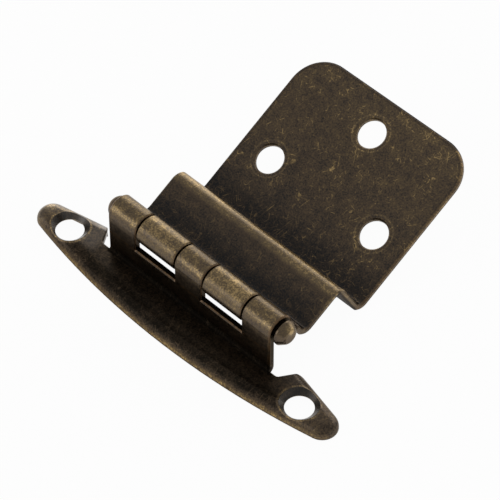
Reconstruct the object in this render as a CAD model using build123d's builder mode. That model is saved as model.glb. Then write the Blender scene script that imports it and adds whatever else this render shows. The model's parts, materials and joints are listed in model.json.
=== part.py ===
from build123d import *
from math import acos, asin, atan2, cos, degrees, hypot, isclose, radians, sin, tan
import os

os.makedirs("parts", exist_ok=True)

# Sheet, folds and pin, in mm
sheet = 1.1
fold_radius = 1.2  # inside of the door leaf's folds
edge_break = 0.25  # worn edge of the blanked sheet
pin_diameter = 3.0
running_clearance = 0.05  # radial, pin in the door knuckles
seam_gap = 0.25  # rolled end of a knuckle to its own wall

# Barrel, along X
hinge_width = 38.1
middle_knuckle = 6.3
door_knuckle = 8.8
knuckle_gap = 0.3

# Frame leaf: boat-shaped plate that lies on the cabinet's face
screw_spacing = 54.9
leaf_length = 69.85
leaf_front = 5.8  # outer curve from the screw line, at mid length
leaf_height = 2.2  # top face above the mounting plane
rim_radius = 2.0
tip_radius = 2.75
tip_offset = 0.4  # centre of the tip beyond the screw line
shoulder_x = 23.1
shoulder_y = 5.25
shoulder_radius = 2.4
notch_y = 1.5  # bottom of the relief notch beside the web
notch_width = 1.7
notch_radius = 0.7
frame_hole = 5.0
countersink = 6.9
countersink_angle = 90
web_fold = 0.4  # inside of the fold at the web's foot
frame_slot = 3.7  # floor of the web's slots below the pin

# Pin axis above the screw line
pin_y = 4.0
pin_z = 10.2

# Door leaf: folded strip, measured from the pin with the door shut
shelf_drop = 8.35  # underside of the shelf
step_reach = 11.0  # near face of the step
step_height = 10.1
plate_reach = 43.5
corner_radius = 6.5
door_hole = 5.3
side_hole_spacing = 24.7
end_hole_inset = 6.55  # from the plate's end
hole_row_spacing = 13.7
door_slot = 4.2

# Pin heads: a blunt one at the +X end, a round one peened over at the other
head_diameter = 4.6
head_seat = 0.3  # of the blunt head, from the barrel's end
head_chamfer = 0.45
head_rim = 0.3
nose_length = 1.3
nose_diameter = 2.7
nose_round = 0.8
dome_diameter = 4.4
dome_height = 1.65

# Shared by the leaves and the pin
pin_radius = pin_diameter / 2
half_width = hinge_width / 2
fold_mid = fold_radius + sheet / 2
frame_roll = pin_radius + sheet / 2  # middle of the sheet round the pin
door_roll = frame_roll + running_clearance
end_knuckle = (hinge_width - middle_knuckle) / 2 - door_knuckle - 2 * knuckle_gap
door_knuckle_x = middle_knuckle / 2 + knuckle_gap + door_knuckle / 2
end_knuckle_x = half_width - end_knuckle / 2
slot_top = 2 * (door_roll + sheet)


def roll_angle(middle):
    """Turn of a knuckle from its wall round the pin to its seam, in degrees."""
    seam = middle - sheet / 2 - seam_gap
    return 180 + degrees(acos(-seam / (middle + sheet / 2)))


def round_the_pin(middle):
    """Picks the edges that lie on the outside of a roll of this middle radius."""
    return lambda edge: isclose(edge.radius, middle + sheet / 2, abs_tol=1e-4)


# Frame leaf's blank: one long curve, round tips and straight inner edges
tip_x = leaf_length / 2 - tip_radius
front_depth = leaf_front + tip_offset
front_radius = (tip_x**2 + front_depth**2 - tip_radius**2) / (2 * (front_depth - tip_radius))
front_centre_y = front_radius - leaf_front
front_end = degrees(atan2(tip_offset - front_centre_y, tip_x))
shoulder_from_tip = (shoulder_x - tip_x, shoulder_y - tip_offset)
tip_end = degrees(
    atan2(shoulder_from_tip[1], shoulder_from_tip[0]) - acos(tip_radius / hypot(*shoulder_from_tip))
)
inner_edges_y = shoulder_y + shoulder_x / tan(radians(tip_end))  # where they would meet at mid length
web_y = pin_y - frame_roll
web_fold_mid = web_fold + sheet / 2
fold_y = web_y - web_fold_mid

with BuildSketch() as blank:
    with BuildLine():
        CenterArc((0, front_centre_y), front_radius, -90, front_end + 90)
        tip = CenterArc((tip_x, tip_offset), tip_radius, front_end, tip_end - front_end)
        Line(tip @ 1, (0, inner_edges_y))
        mirror(about=Plane.YZ)
    make_face()

# What is cut away between the tips: a relief notch beside each end of the web
with BuildSketch() as relief:
    with BuildLine():
        edge = FilletPolyline(
            tip @ 1,
            (shoulder_x, shoulder_y),
            (half_width + notch_width, notch_y),
            (0, notch_y),
            radius=[shoulder_radius, notch_radius],
        )
        Polyline(edge @ 1, (0, inner_edges_y), ((tip @ 1).X, inner_edges_y), edge @ 0)
    make_face()
    mirror(about=Plane.YZ)

# Upright web, rolled round the pin, and the fold that joins it to the plate
with BuildPart() as web:
    with BuildSketch(Plane.YZ) as web_section:
        with BuildLine():
            leaf_middle = leaf_height - sheet / 2
            FilletPolyline(
                (fold_y - sheet, leaf_middle), (web_y, leaf_middle), (web_y, pin_z), radius=web_fold_mid
            )
            CenterArc((pin_y, pin_z), frame_roll, 180, -roll_angle(frame_roll))
        trace(line_width=sheet)
    extrude(amount=half_width, both=True)
    # Slots that take the door knuckles
    with BuildSketch(Plane.XY.offset(pin_z - frame_slot)) as frame_slots:
        with Locations((-door_knuckle_x, pin_y), (door_knuckle_x, pin_y)):
            Rectangle(door_knuckle + 2 * knuckle_gap, slot_top)
    extrude(amount=frame_slot + slot_top, mode=Mode.SUBTRACT)
    slot_floors = web.edges(Select.LAST).filter_by(Axis.X).group_by(Axis.Z)[0]
    knuckle_sides = web.faces().filter_by(Axis.X).edges().filter_by(GeomType.CIRCLE)
    knuckle_rims = knuckle_sides.filter_by(round_the_pin(frame_roll))
    chamfer(knuckle_rims + slot_floors.group_by(Axis.Y)[0], edge_break)

with BuildPart() as frame_leaf:
    # Domed plate with its rim turned down, and notches cut through it
    add(blank.sketch)
    extrude(amount=leaf_height)
    fillet(frame_leaf.faces().sort_by(Axis.Z)[-1].edges(), rim_radius)
    with BuildSketch() as hollow:
        add(blank.sketch)
        offset(amount=-sheet, mode=Mode.REPLACE)
    extrude(amount=leaf_height - sheet, mode=Mode.SUBTRACT)
    add(relief.sketch)
    extrude(amount=leaf_height, mode=Mode.SUBTRACT)
    with BuildSketch(Plane.XY.offset(leaf_height)) as broken_edge:
        add(relief.sketch)
        offset(amount=edge_break, mode=Mode.REPLACE)
    extrude(amount=-edge_break, taper=45, mode=Mode.SUBTRACT)
    with BuildSketch(Plane.XY) as fold_gap:
        with Locations((0, fold_y)):
            Rectangle(hinge_width, notch_y - fold_y, align=(Align.CENTER, Align.MIN))
    extrude(amount=leaf_height, mode=Mode.SUBTRACT)
    add(web.part)
    # Screw holes
    with Locations((-screw_spacing / 2, 0, leaf_height), (screw_spacing / 2, 0, leaf_height)):
        CounterSinkHole(frame_hole / 2, countersink / 2, counter_sink_angle=countersink_angle)
frame_leaf.part.label = "frame_leaf"
export_step(frame_leaf.part, "parts/frame_leaf.step")

# Door leaf's swing: its lower fold rests on the plane that the frame leaf lies on
fold_outer = fold_radius + sheet
valley_y = step_reach + fold_outer
valley_z = fold_outer - shelf_drop - step_height
swing = asin((fold_outer - pin_z) / hypot(valley_y, valley_z)) - atan2(valley_z, valley_y)
outward = (0, cos(swing), sin(swing))
upward = (0, -sin(swing), cos(swing))
door_section = Plane(origin=(0, pin_y, pin_z), x_dir=outward, z_dir=(1, 0, 0))
door_level = Plane(origin=(0, pin_y, pin_z), x_dir=(1, 0, 0), z_dir=upward)

with BuildPart() as door_leaf:
    # Wall, shelf, step and plate, all from one strip, rolled round the pin
    with BuildSketch(door_section) as strip:
        with BuildLine():
            shelf_middle = sheet / 2 - shelf_drop
            step_middle = step_reach + sheet / 2
            plate_middle = shelf_middle - step_height
            FilletPolyline(
                (door_roll, 0),
                (door_roll, shelf_middle),
                (step_middle, shelf_middle),
                (step_middle, plate_middle),
                (plate_reach, plate_middle),
                radius=fold_mid,
            )
            CenterArc((0, 0), door_roll, 0, roll_angle(door_roll))
        trace(line_width=sheet)
    extrude(amount=half_width, both=True)
    plate_end = door_leaf.edges().filter_by(Axis((0, 0, 0), upward))
    fillet(plate_end.sort_by(Axis((0, 0, 0), outward))[-2:], corner_radius)
    # Slots that take the frame knuckles
    with BuildSketch(door_level.offset(-door_slot)) as door_slots:
        Rectangle(middle_knuckle + 2 * knuckle_gap, slot_top)
        with Locations((-end_knuckle_x, 0), (end_knuckle_x, 0)):
            Rectangle(end_knuckle + 2 * knuckle_gap, slot_top)
    extrude(amount=door_slot + slot_top, mode=Mode.SUBTRACT)
    slot_floors = door_leaf.edges(Select.LAST).filter_by(Axis.X).group_by(Axis((0, 0, 0), upward))[0]
    knuckle_sides = door_leaf.faces().filter_by(Axis.X).edges().filter_by(GeomType.CIRCLE)
    knuckle_rims = knuckle_sides.filter_by(round_the_pin(door_roll))
    chamfer(knuckle_rims + slot_floors.group_by(Axis((0, 0, 0), outward))[-1], edge_break)
    sides = door_leaf.faces().filter_by(Axis.X).group_by(Axis.X)
    chamfer(sides[0].edges() + sides[-1].edges(), edge_break)
    # Screw holes in the plate
    with BuildSketch(door_level.offset(plate_middle)) as holes:
        side = side_hole_spacing / 2
        end_hole_reach = plate_reach - end_hole_inset
        side_hole_reach = end_hole_reach - hole_row_spacing
        with Locations((-side, side_hole_reach), (side, side_hole_reach), (0, end_hole_reach)):
            Circle(door_hole / 2)
    extrude(amount=sheet, both=True, mode=Mode.SUBTRACT)
    chamfer(door_leaf.edges(Select.LAST).filter_by(GeomType.CIRCLE), edge_break)
door_leaf.part.label = "door_leaf"
export_step(door_leaf.part, "parts/door_leaf.step")

# Pin with both ends upset into heads
with BuildPart() as hinge_pin:
    with BuildSketch(Plane.XY.offset(pin_z)) as pin_profile:
        with BuildLine():
            seat = half_width + head_seat
            rim = seat + head_chamfer
            nose = rim + head_rim + nose_length
            dome_edge = (-half_width, pin_y + dome_diameter / 2)
            dome = TangentArc((-half_width - dome_height, pin_y), dome_edge, tangent=(0, 1))
            Polyline(
                dome_edge,
                (-half_width, pin_y + pin_radius),
                (seat, pin_y + pin_radius),
                (seat, pin_y + head_diameter / 2 - head_chamfer),
                (rim, pin_y + head_diameter / 2),
                (rim + head_rim, pin_y + head_diameter / 2),
                (nose, pin_y + nose_diameter / 2),
                (nose, pin_y),
                dome @ 0,
            )
        make_face()
        fillet(pin_profile.vertices().group_by(Axis.X)[-1].sort_by(Axis.Y)[-1], nose_round)
    revolve(axis=Axis((0, pin_y, pin_z), (1, 0, 0)))
hinge_pin.part.label = "hinge_pin"
export_step(hinge_pin.part, "parts/hinge_pin.step")
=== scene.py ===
import json
from math import atan2, cos, pi, radians, sin

import bpy
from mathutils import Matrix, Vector


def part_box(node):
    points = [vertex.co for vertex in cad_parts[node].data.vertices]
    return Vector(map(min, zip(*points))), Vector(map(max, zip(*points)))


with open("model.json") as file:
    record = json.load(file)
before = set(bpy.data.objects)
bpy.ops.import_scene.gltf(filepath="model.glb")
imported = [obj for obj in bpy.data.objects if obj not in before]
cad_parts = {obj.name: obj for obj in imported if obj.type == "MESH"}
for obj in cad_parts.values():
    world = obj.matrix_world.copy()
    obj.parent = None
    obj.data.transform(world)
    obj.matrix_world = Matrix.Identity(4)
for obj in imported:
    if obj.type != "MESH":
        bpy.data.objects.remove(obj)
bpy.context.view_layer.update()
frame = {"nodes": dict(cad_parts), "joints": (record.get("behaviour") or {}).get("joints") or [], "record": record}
mounts = {mount["name"]: mount for mount in frame["record"]["mounts"]}

MM = 0.001  # one millimetre, in metres

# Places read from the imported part, in mm; pin_place is in metres
pin_place = Vector(frame["joints"][0]["pos_m"])
pin_y, pin_z = pin_place.y / MM, pin_place.z / MM
door_up = mounts["door_face"]["axis"]
door_swing = atan2(-door_up[1], door_up[2])
barrel_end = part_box("door_leaf")[1].x / MM
leaf_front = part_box("frame_leaf")[0].y / MM
frame_hole_x = mounts["frame_screws"]["dims"]["spacing_x_mm"] / 2
door_hole_x = mounts["door_screws"]["dims"]["pcd_mm"] / 2
door_hole_radius = mounts["door_screws"]["dims"]["hole_r_mm"]


def reach_of(mount):
    """Reach of a mount along the unswung door leaf, in mm from the pin."""
    offset = (Vector(mounts[mount]["pos_m"]) - pin_place) / MM
    return offset.y * cos(door_swing) + offset.z * sin(door_swing)


side_hole_reach = reach_of("door_screws")
end_hole_reach = reach_of("door_end_screw")

# Sheet and knuckles, in mm; the knuckles' edges are measured along X from the middle
sheet = 1.1
fold_inner = 1.2
fold_outer = fold_inner + sheet
knuckle_radius = 2.62  # outside, between the radii of the two leaves
knuckle_gap = 0.3
middle_knuckle_edge = 3.15
door_knuckle_width = 8.8
door_knuckle_start = middle_knuckle_edge + knuckle_gap
door_knuckle_end = door_knuckle_start + door_knuckle_width
end_knuckle_edge = door_knuckle_end + knuckle_gap
worn_line = 0.3  # half width of a worn line

# Frame leaf, in mm
leaf_top = 2.2
front_curve_radius = 154.5
countersink_radius = 3.45
web_front = 1.4
web_slot_floor = 6.5
touch_angle = radians(40)  # height on a knuckle's near side at which it is rubbed most
rim_top, rim_full = 1.6, 0.5  # heights between which the front rim's wear comes in
far_rim_slope = 0.35  # of the plate's far edge, from the shoulder to the tip

# Door leaf, in mm from the pin with the door shut
top_angle = radians(60)  # height on a knuckle's far side at which it is rubbed most
wall_reach = 3.2  # the wall and the knuckles end before this
door_slot_floor = -4.2
shelf_start = 4.0
shelf_top = -7.25
step_near = 11.0  # near face of the step
step_height = 10.1
ridge_reach = step_near - fold_inner  # centre of the step's upper fold
ridge_rise = shelf_top - fold_outer
valley_reach = step_near + fold_outer  # centre of the step's lower fold
plate_top = shelf_top - step_height
plate_end = 43.5
corner_radius = 6.5

# Camera of the photograph, in pixels of a 500 x 500 frame and in metres
frame_px = 500
focal_px = 3135.1
camera_azimuth = radians(45.396)
camera_elevation = radians(47.496)
camera_distance = 0.5199
camera_aim = Vector((0.00173, 0.01417, 0.00797))


def tone(red, green, blue):
    """Linear colour of an 8-bit display colour."""
    shares = [channel / 255 for channel in (red, green, blue)]
    return (*[s / 12.92 if s <= 0.04045 else ((s + 0.055) / 1.055) ** 2.4 for s in shares], 1.0)


class Field:
    """A value that varies over a surface: an output socket of a finish's nodes, open to arithmetic."""

    def __init__(self, finish, socket):
        self.finish = finish
        self.socket = socket

    def math(self, operation, *values):
        """One Math node on these values."""
        return self.finish.node("ShaderNodeMath", {"operation": operation}, dict(enumerate(values)))

    def __add__(self, other):
        return self.math("ADD", self, other)

    def __sub__(self, other):
        return self.math("SUBTRACT", self, other)

    def __rsub__(self, other):
        return self.math("SUBTRACT", other, self)

    def __mul__(self, other):
        return self.math("MULTIPLY", self, other)

    def __abs__(self):
        return self.math("ABSOLUTE", self)

    __radd__ = __add__
    __rmul__ = __mul__

    def most(self, *others):
        """Largest of this and the others."""
        largest = self
        for other in others:
            largest = self.math("MAXIMUM", largest, other)
        return largest

    def least(self, other):
        """Smaller of this and the other."""
        return self.math("MINIMUM", self, other)

    def rise(self, start, full):
        """0 up to start and 1 from full on, eased between them; it falls where full is below start."""
        sockets = {"Value": self, "From Min": start, "From Max": full}
        return self.finish.node("ShaderNodeMapRange", {"interpolation_type": "SMOOTHSTEP"}, sockets)

    def near(self, place, width):
        """1 at place, easing to 0 a width to either side of it."""
        return abs(self - place).rise(width, 0)


def distance(first, second):
    """Length of the vector with these two parts."""
    squared = first * first + second * second
    return squared.math("SQRT", squared)


def set_stops(elements, stops):
    """Gives a colour ramp its stops: pairs of a share and a colour, from 0 to 1."""
    for share, _ in stops[1:-1]:
        elements.new(share)
    for element, (share, colour) in zip(elements, stops):
        element.position = share
        element.color = colour


class Finish:
    """Nodes of a material or of the world. Its places are in mm."""

    def __init__(self, owner):
        self.owner = owner
        owner.use_nodes = True
        self.tree = owner.node_tree
        self.tree.nodes.clear()

    def node(self, kind, settings=None, sockets=None, output=0):
        """Adds a node with its settings, then its socket values or links, and gives one output."""
        made = self.tree.nodes.new(kind)
        for name, value in (settings or {}).items():
            if name == "stops":
                set_stops(made.color_ramp.elements, value)
            else:
                setattr(made, name, value)
        for key, value in (sockets or {}).items():
            if isinstance(value, Field):
                self.tree.links.new(value.socket, made.inputs[key])
            else:
                made.inputs[key].default_value = value
        return Field(self, made.outputs[output]) if made.outputs else None

    def outputs(self, field):
        """Every output of the node that a field comes from, by name."""
        return {socket.name: Field(self, socket) for socket in field.socket.node.outputs}

    def place(self, centre=(0, 0, 0), turn=0.0):
        """Place on the piece in mm from a centre given in metres, turned about X."""
        sockets = {
            "Vector": self.node("ShaderNodeTexCoord", output="Object"),
            "Location": centre,
            "Rotation": (turn, 0, 0),
            "Scale": (MM, MM, MM),
        }
        return self.node("ShaderNodeMapping", {"vector_type": "TEXTURE"}, sockets)

    def parts(self, vector):
        """The three parts of a vector."""
        apart = self.outputs(self.node("ShaderNodeSeparateXYZ", sockets={0: vector}))
        return [apart[axis] for axis in "XYZ"]

    def moved(self, vector, turn=(0, 0, 0), stretch=(1, 1, 1), shift=(0, 0, 0)):
        """A place shifted, turned and stretched, to vary a pattern."""
        sockets = {"Vector": vector, "Location": shift, "Rotation": turn, "Scale": stretch}
        return self.node("ShaderNodeMapping", {"vector_type": "TEXTURE"}, sockets)

    def noise(self, vector, size, detail, warp=0.0):
        """Soft noise from 0 to 1 with blotches of about this size in mm."""
        sockets = {"Vector": vector, "Scale": 1 / size, "Detail": detail, "Distortion": warp}
        return self.node("ShaderNodeTexNoise", sockets=sockets)

    def mix(self, share, first, second):
        """Colour between first and second."""
        return self.node("ShaderNodeMix", {"data_type": "RGBA"}, {0: share, 6: first, 7: second}, 2)

    def ramp(self, share, *stops):
        """Colour at a share of the way along the stops."""
        return self.node("ShaderNodeValToRGB", {"stops": stops}, {0: share})

    def curved_scratches(self, vector, size, width, shift):
        """Short curved scratches: level lines of a noise, cut to lengths by a finer noise."""
        line = self.noise(self.moved(vector, shift=shift), size, detail=0.0, warp=0.5)
        cut = self.noise(self.moved(vector, shift=shift[::-1]), size / 2, detail=0.0)
        return line.near(0.5, width) * cut.rise(0.56, 0.64)

    def straight_scratches(self, vector, turn, length, shift):
        """Nearly straight scratches: the crests of a noise drawn out in one direction."""
        scratch_width = 0.17
        drawn = self.moved(vector, (0, 0, radians(turn)), (length, scratch_width, 1), (*shift, 0))
        return self.noise(drawn, size=1.0, detail=0.0, warp=0.2).rise(0.72, 0.84)

    def flecks(self, vector, spacing, radius, share):
        """Small specks, one to a cell, in this share of the cells."""
        sockets = {"Vector": vector, "Scale": 1 / spacing}
        cells = self.outputs(self.node("ShaderNodeTexVoronoi", sockets=sockets))
        pick = self.parts(cells["Color"])[0]
        return cells["Distance"].rise(radius, radius / 2) * pick.rise(1 - share, 1)

    def surface(self, sockets):
        """Ends a material's nodes with a metal surface."""
        metal = self.node("ShaderNodeBsdfPrincipled", sockets=sockets)
        self.node("ShaderNodeOutputMaterial", sockets={"Surface": metal})
        return self.owner


# Tones of the antique brass, from unrubbed patina to bare metal
blackened = tone(33, 33, 34)
brown_black = tone(30, 26, 21)
browned = tone(80, 67, 53)
bronzed = tone(107, 90, 63)
bared = tone(178, 150, 101)
coppery = tone(104, 78, 50)
warm_gloss = tone(210, 201, 190)

# Roughness of the satin sheet, and the weight of its unrubbed lacquer
satin = 0.36
thin_coat = 0.12

# Curved scratches: size of their noise in mm, width as a share of its height, and its shift
curved_marks = (
    (2.9, 0.02, (3.1, 7.7, 1.3)),
    (1.9, 0.03, (11.9, 2.3, 8.1)),
)

# Straight scratches: turn in degrees, length in mm, and the shift of their noise
straight_marks = (
    (15, 2.0, (2.2, 9.1)),
    (50, 2.0, (7.4, 1.8)),
    (95, 2.0, (4.9, 6.6)),
    (130, 2.0, (8.3, 3.9)),
    (165, 2.0, (1.7, 5.2)),
    (75, 6.0, (6.3, 2.9)),
    (120, 6.0, (9.6, 7.1)),
)


def scratches(finish, place):
    """Curved and straight scratches for level faces: their pattern hardly changes with height."""
    height_stretch = 1000
    level_place = finish.moved(place, stretch=(1, 1, height_stretch))
    curved = [finish.curved_scratches(level_place, *mark) for mark in curved_marks]
    straight = [finish.straight_scratches(level_place, *mark) for mark in straight_marks]
    return curved[0].most(*curved[1:], *straight)


def antique_brass(finish, place, patina, rub_and_painted_light, edges, scratched, grain, roughness, lacquer):
    """Lacquered antique brass.

    Patina is its darkest tone, rub how far that is rubbed away, with painted light and shade added in,
    edges where it is worn to a coppery tone, scratched how much it is marked, grain how uneven it is and lacquer
    how much coat it has unrubbed.
    """
    cloud = finish.noise(place, size=9.0, detail=2.0)
    blotch = finish.noise(place, size=2.4, detail=3.0, warp=0.3)
    mottle = finish.noise(place, size=0.8, detail=3.0)
    speckle = finish.noise(place, size=0.3, detail=2.0)
    marks = scratches(finish, place) * (0.35 + 0.65 * blotch.rise(0.45, 0.6))
    flecks = finish.flecks(place, spacing=0.6, radius=0.28, share=0.5)
    uneven = 0.4 * (cloud - 0.5) + 0.8 * (blotch - 0.5) + 0.7 * (mottle - 0.5) + 1.8 * (speckle - 0.5)
    # The share along the tones is rubbing plus painted light and shade
    wear_and_light_share = rub_and_painted_light + grain * uneven * (0.12 + 0.8 * rub_and_painted_light) + scratched * (0.46 * marks + 0.24 * flecks)
    colour = finish.ramp(wear_and_light_share, (0.0, patina), (0.3, browned), (0.6, bronzed), (1.0, bared))
    colour = finish.mix(mottle.rise(0.3, 0.6) * edges, colour, coppery)
    height = 0.5 * blotch + 0.4 * mottle + 0.15 * speckle
    bump = finish.node("ShaderNodeBump", sockets={"Strength": 0.25, "Distance": 0.1 * MM, "Height": height})
    return finish.surface({
        "Base Color": colour,
        "Metallic": 1.0,
        "Roughness": roughness + 0.15 * (mottle - 0.5) + 0.2 * (speckle - 0.5),
        "Specular Tint": warm_gloss,
        "Normal": bump,
        "Coat Weight": 0.7 * rub_and_painted_light + lacquer,
        "Coat Roughness": 0.28,
    })


def frame_leaf_finish():
    """Frame leaf: rubbed knuckles, worn front rim and tips, painted highlights at the shoulders, coppery edges at
    the slots.

    The web, its foot and the plate beside them stay dark, and the cut faces and slot floors are painted dark as
    shade. The far rim, the left tip and the shoulders carry painted highlights, strongest on the left.
    """
    finish = Finish(bpy.data.materials.new("frame_leaf_antique_brass"))
    place = finish.place()
    x, y, z = finish.parts(place)
    along = abs(x)

    # Knuckles, brightest along one line
    from_pin = distance(y - pin_y, z - pin_z)
    knuckle = from_pin.rise(knuckle_radius + 0.3, knuckle_radius + 0.02)
    upper_side = knuckle * z.rise(pin_z + 0.3, pin_z + 2.0)
    towards_touch = cos(touch_angle) * (pin_y - y) + sin(touch_angle) * (z - pin_z)
    rub_line = towards_touch.rise(0.94 * knuckle_radius, 0.99 * knuckle_radius)

    # Depth below the outer skin of the web and knuckles: only cut faces lie part way through the sheet
    upright = z.rise(leaf_top + 0.6, leaf_top + 1.2)
    above_pin = z.rise(pin_z - 0.1, pin_z + 0.1)
    depth = above_pin * (knuckle_radius - from_pin) + (1 - above_pin) * (y - web_front)
    rolled_back = from_pin.rise(knuckle_radius - 0.2, knuckle_radius - 0.05)
    rolled_back = rolled_back * y.rise(pin_y - 0.5, pin_y + 0.5)
    # Cut faces in the slots and at the ends are painted dark as shade
    shaded_cut_faces = depth.rise(0.1, 0.3) * upright * (1 - rolled_back)
    end_edges = along.rise(barrel_end - 0.5, barrel_end - 0.2)
    slot_edges = along.near(middle_knuckle_edge, worn_line).most(along.near(end_knuckle_edge, worn_line))
    slot_edges = slot_edges * z.rise(web_slot_floor - 0.4, web_slot_floor)
    slot_edges = slot_edges.most(end_edges) * depth.rise(0.4, 0.2) * upright
    # The slot floors' top faces are painted dark as shade
    slot_floor = z.near(web_slot_floor, worn_line) * (1 - knuckle) * (1 - slot_edges)

    # Plate: worn rim along the front curve, shade behind it, tips, and the dark foot of the web
    plate = z.rise(leaf_top + 0.3, leaf_top + 0.1)
    from_front = front_curve_radius - distance(x, y - (front_curve_radius + leaf_front))
    tips = along.rise(frame_hole_x - 6, frame_hole_x + 3)
    # Painted highlight where the left tip curves away
    left_tip_highlight = x.rise(-frame_hole_x - 3, -frame_hole_x - 6.5)
    left_side = x.rise(10, -10)
    rim = z.rise(rim_top, rim_full) * from_front.rise(1.5, 1.0) * plate * (1 - 0.3 * tips)
    rim = rim * (0.4 + 0.6 * z.rise(0.05, 0.45)) * (0.85 + 0.15 * x.rise(-25, 0))
    shade = from_front.rise(3.4, 2.2) * plate * (1 - tips)
    foot = distance(y - web_front, z - leaf_top).rise(0.9, 0.5)
    foot = foot * along.rise(barrel_end + 0.3, barrel_end - 0.2)

    # Beside the barrel: painted highlights on the far rim and shoulders, and the 90 degree countersinks with a
    # painted highlight ring round each
    beside_barrel = along.rise(barrel_end + 0.5, barrel_end + 3) * plate
    # Painted highlight along the plate's far rim, mostly on the left
    far_rim_highlight = (y + far_rim_slope * (along - frame_hole_x)).rise(1.0, 3.2)
    far_rim_highlight = far_rim_highlight * beside_barrel * x.rise(30, -10)
    # Painted highlight on the shoulders
    shoulder_highlight = beside_barrel * along.rise(frame_hole_x - 2, frame_hole_x - 4) * y.rise(-2, 0)
    from_hole = distance(along - frame_hole_x, y)
    from_cone = from_hole - z - (countersink_radius - leaf_top)
    cone = from_cone.rise(0.06, 0.02) * from_hole.rise(countersink_radius + 0.4, countersink_radius)
    # Painted highlight ring round each countersink's edge
    ring = from_cone.rise(0.02, 0.08) * from_cone.rise(0.65, 0.3) * beside_barrel

    rub_knuckle = 0.2 * knuckle + 0.17 * upper_side + 0.12 * rub_line
    # Tip wear, with the painted highlights of the far rim, shoulders and left tip
    tip_wear_and_highlights = 0.16 * tips + 0.24 * far_rim_highlight + 0.12 * shoulder_highlight + 0.2 * left_tip_highlight
    # A little painted light on the web
    rub_and_painted_light = 0.1 + 0.05 * upright - 0.07 * shade
    rub_and_painted_light = rub_and_painted_light + rub_knuckle.most(0.55 * rim, tip_wear_and_highlights, 0.45 * ring, 0.25 * slot_edges)
    rub_and_painted_light = rub_and_painted_light * (1 - 0.8 * cone) * (1 - 0.9 * shaded_cut_faces) * (1 - foot) * (1 - 0.7 * slot_floor)
    lacquer = thin_coat - 0.11 * foot.most(shade) - 0.4 * rim + 0.6 * far_rim_highlight
    lacquer = lacquer + (0.2 + 0.5 * left_side) * shoulder_highlight + 0.3 * left_tip_highlight + 0.5 * cone
    return antique_brass(
        finish,
        place,
        brown_black,
        rub_and_painted_light=rub_and_painted_light,
        edges=(0.8 * slot_edges).most(0.6 * slot_floor * depth.rise(0.6, 0.3)),
        scratched=0.5 - 0.4 * upright,
        grain=1.4 - 0.2 * knuckle,
        roughness=satin + 0.5 * foot,
        lacquer=lacquer,
    )


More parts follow.
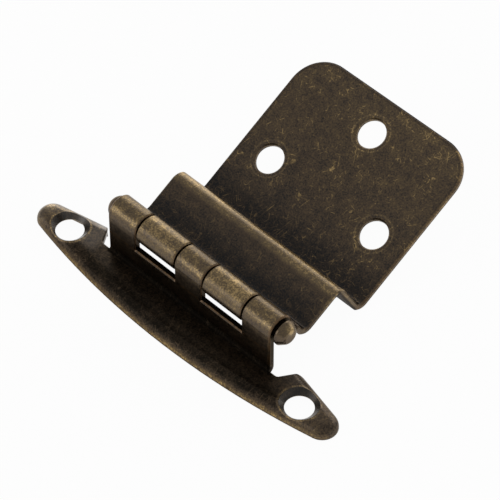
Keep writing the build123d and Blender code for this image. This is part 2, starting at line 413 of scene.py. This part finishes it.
def door_leaf_finish():
    """Door leaf: rubbed knuckles and ridge, a painted highlight on the ridge's far side, dark shelf and valley
    with painted shade by the barrel and under the sheet, browner plate with rings at the holes.

    Its places are taken from the pin with the door shut: reach is outwards and rise is upwards.
    """
    finish = Finish(bpy.data.materials.new("door_leaf_antique_brass"))
    place = finish.place(pin_place, door_swing)
    x, reach, rise = finish.parts(place)
    along = abs(x)

    # Knuckles, rubbed over the top and down the far side, and the slots beside them
    from_pin = distance(reach, rise)
    knuckle = from_pin.rise(knuckle_radius + 0.9, knuckle_radius + 0.1)
    over_top = knuckle * rise.rise(0.8, 2.0).most(reach.rise(-1, 0))
    top_line = knuckle * (cos(top_angle) * reach + sin(top_angle) * rise).rise(1.5, 2.2)
    slot_edges = along.near(door_knuckle_start, worn_line).most(along.near(door_knuckle_end, worn_line))
    slot_edges = slot_edges * knuckle
    below_knuckle = along.rise(door_knuckle_start, door_knuckle_start + 0.2)
    below_knuckle = below_knuckle * along.rise(door_knuckle_end, door_knuckle_end - 0.2)
    slot_floor = rise.near(door_slot_floor, 0.35) * reach.rise(knuckle_radius - 0.6, knuckle_radius - 0.3)
    slot_floor = slot_floor * (1 - below_knuckle)

    # Ridge over the step with a painted highlight on its far side, the shelf before it with painted shade by the
    # barrel, and the plate beyond it, which brightens outwards
    on_ridge = distance(reach - ridge_reach, rise - ridge_rise).near(fold_outer, worn_line)
    on_ridge = on_ridge * rise.rise(ridge_rise - 1.4, ridge_rise - 0.4)
    ridge = reach.rise(ridge_reach - 0.4, ridge_reach + 0.7) * on_ridge
    # Painted highlight on the ridge's far side
    far_side_highlight = reach.rise(ridge_reach + 1.2, ridge_reach + 2.1) * on_ridge
    plate = rise.rise(plate_top + 3, plate_top + 0.5)
    worn_patch = reach.near(ridge_reach + 0.3, 1.2) * x.rise(4, 10)
    # Painted shade on the shelf, darkest by the barrel
    shelf_shade_and_wear = (0.18 * reach.rise(shelf_start, ridge_reach - 0.5) + 0.14 * worn_patch) * (1 - plate)
    past_valley = reach.rise(valley_reach, valley_reach + 7)
    past_holes = reach.rise(side_hole_reach, side_hole_reach + 5) * (0.05 + 0.03 * x.rise(0, 12))
    open_plate = (0.2 * past_valley + past_holes + 0.1 * reach.rise(plate_end - 10, plate_end)) * plate

    # Distance inside the outline, whose edge is worn on the right and dark elsewhere
    corner_x = (along - (barrel_end - corner_radius)).most(0)
    corner_reach = (reach - (plate_end - corner_radius)).most(0)
    inside = corner_radius - distance(corner_x, corner_reach)
    right_side = x.rise(barrel_end - 5, barrel_end - 2)
    right_edge = inside.rise(0.5, 0.1) * right_side
    dark_edge = inside.rise(0.35, 0.1) * (1 - right_side) * plate
    edge_line = inside.near(0.5, worn_line) * plate

    # Undersides, painted darker as shade, walls and screw holes
    under_shelf = rise.rise(shelf_top - 0.5, shelf_top - 0.9) * reach.rise(step_near + 0.5, step_near + 0.2)
    shaded_underside = under_shelf.most(rise.rise(plate_top - 0.5, plate_top - 0.9))
    step_face = reach.rise(step_near - 0.4, step_near - 0.1) * rise.rise(plate_top + 0.1, plate_top + 1)
    walls = reach.rise(wall_reach + 0.4, wall_reach).most(step_face)
    from_side_hole = distance(along - door_hole_x, reach - side_hole_reach)
    from_hole = from_side_hole.least(distance(x, reach - end_hole_reach))
    bore = from_hole.rise(door_hole_radius + 0.55, door_hole_radius - 0.05)
    ring = from_hole.near(door_hole_radius + 0.8, worn_line).most(0.5 * bore) * plate

    rub_knuckle = 0.2 * knuckle + 0.25 * over_top + 0.15 * top_line
    rub_and_painted_light = 0.04 + open_plate + shelf_shade_and_wear
    rub_and_painted_light = rub_and_painted_light + rub_knuckle.most(0.31 * ridge + 0.3 * far_side_highlight, 0.26 * right_edge, 0.22 * ring)
    # Painted shade on the undersides
    rub_and_painted_light = rub_and_painted_light * (1 - 0.35 * edge_line) * (1 - dark_edge) * (1 - 0.4 * shaded_underside)
    return antique_brass(
        finish,
        place,
        blackened,
        rub_and_painted_light=rub_and_painted_light,
        edges=(0.6 * slot_edges).most(0.4 * slot_floor, 0.4 * right_edge * plate),
        scratched=(0.85 + 0.3 * plate) * (1 - 0.8 * walls.most(on_ridge)),
        grain=1.3 - 0.2 * knuckle - 0.4 * on_ridge,
        roughness=satin + 0.35 * dark_edge + 0.5 * shaded_underside,
        lacquer=thin_coat - 0.1 * shaded_underside,
    )


def hinge_pin_finish():
    """Pin: smoother brass rubbed on both heads, with painted light on each: lighter on the upper side and nose,
    brightest at a painted highlight spot high on each.
    """
    finish = Finish(bpy.data.materials.new("hinge_pin_antique_brass"))
    place = finish.place(pin_place)
    x, across, up = finish.parts(place)
    along = abs(x)
    heads = along.rise(barrel_end - 0.1, barrel_end + 0.2)
    # Painted light: each head lighter on its upper side and at its nose
    upper_side = (0.5 * across + up).rise(-1.6, 1.6)
    nose = along.rise(barrel_end + 0.9, barrel_end + 1.6)
    # Painted highlight spot high on each head
    spot_across, spot_up, spot_radius = 0.2, 1.2, 1.1
    painted_highlight_spot = distance(across - spot_across, up - spot_up).rise(spot_radius, 0)
    painted_highlight_spot = painted_highlight_spot * along.rise(barrel_end + 0.6, barrel_end + 1.0)
    return antique_brass(
        finish,
        place,
        blackened,
        rub_and_painted_light=0.1 + (0.14 + 0.14 * upper_side + 0.08 * nose) * heads + 0.5 * painted_highlight_spot,
        edges=0.0,
        scratched=0.1,
        grain=0.6,
        roughness=0.24,
        lacquer=thin_coat,
    )


finishes = {
    "frame_leaf": frame_leaf_finish(),
    "door_leaf": door_leaf_finish(),
    "hinge_pin": hinge_pin_finish(),
}
for node, material in finishes.items():
    slots = frame["nodes"][node].data.materials
    slots.clear()
    slots.append(material)


def looking(piece, place, aim):
    """Puts a lamp or camera at a place, facing an aim."""
    piece.location = place
    piece.rotation_mode = "QUATERNION"
    piece.rotation_quaternion = (aim - place).to_track_quat("-Z", "Y")
    bpy.context.scene.collection.objects.link(piece)
    return piece


def softbox(name, place, width, height, brightness):
    """Evenly bright panel facing the hinge; its power is pi x area x brightness."""
    lamp = bpy.data.lights.new(name, "AREA")
    lamp.shape = "RECTANGLE"
    lamp.size, lamp.size_y = width, height
    lamp.energy = pi * width * height * brightness
    panel = looking(bpy.data.objects.new(name, lamp), Vector(place), camera_aim)
    panel.visible_camera = False


def white_paper():
    """Matt paper that shows white wherever it is seen, straight on or in metal and glass."""
    paper = Finish(bpy.data.materials.new("white_paper"))
    rays = paper.outputs(paper.node("ShaderNodeLightPath"))
    seen = rays["Is Camera Ray"].most(rays["Is Glossy Ray"], rays["Is Transmission Ray"])
    matt = paper.node("ShaderNodeBsdfDiffuse", sockets={"Color": (0.8, 0.8, 0.8, 1)})
    glow = paper.node("ShaderNodeEmission", sockets={"Strength": 1.0})
    lit = paper.node("ShaderNodeMixShader", sockets={0: 0.96 * seen, 1: matt, 2: glow})
    paper.node("ShaderNodeOutputMaterial", sockets={"Surface": lit})
    return paper.owner


def paper_floor():
    """Wide square sheet of paper, just below what the hinge rests on."""
    half_side, drop = 20.0, -0.1 * MM
    signs = ((-1, -1), (1, -1), (1, 1), (-1, 1))
    mesh = bpy.data.meshes.new("floor")
    mesh.from_pydata([(sx * half_side, sy * half_side, drop) for sx, sy in signs], [], [(0, 1, 2, 3)])
    mesh.materials.append(white_paper())
    floor = bpy.data.objects.new("floor", mesh)
    bpy.context.scene.collection.objects.link(floor)


def surround():
    """Even pale light from all round."""
    world = bpy.data.worlds.new("surround")
    light = Finish(world)
    sky = light.node("ShaderNodeBackground", sockets={"Color": (1, 1, 1, 1), "Strength": 0.54})
    light.node("ShaderNodeOutputWorld", sockets={"Surface": sky})
    bpy.context.scene.world = world


def photograph_camera():
    """Camera that looks down on the hinge from the front right, as in the photograph."""
    lens = bpy.data.cameras.new("camera")
    lens.sensor_width = 36.0
    lens.lens = lens.sensor_width * focal_px / frame_px
    lens.clip_start = 0.01
    level = cos(camera_elevation)
    back = Vector((sin(camera_azimuth) * level, -cos(camera_azimuth) * level, sin(camera_elevation)))
    place = camera_aim + camera_distance * back
    bpy.context.scene.camera = looking(bpy.data.objects.new("camera", lens), place, camera_aim)


bpy.context.scene.view_settings.view_transform = "Standard"
paper_floor()
surround()
softbox("front_softbox", (-0.43, -0.73, 0.31), width=0.7, height=0.4, brightness=1.3)
softbox("back_softbox", (-0.25, 0.80, 0.30), width=1.6, height=0.6, brightness=1.5)
photograph_camera()

bpy.context.view_layer.update()
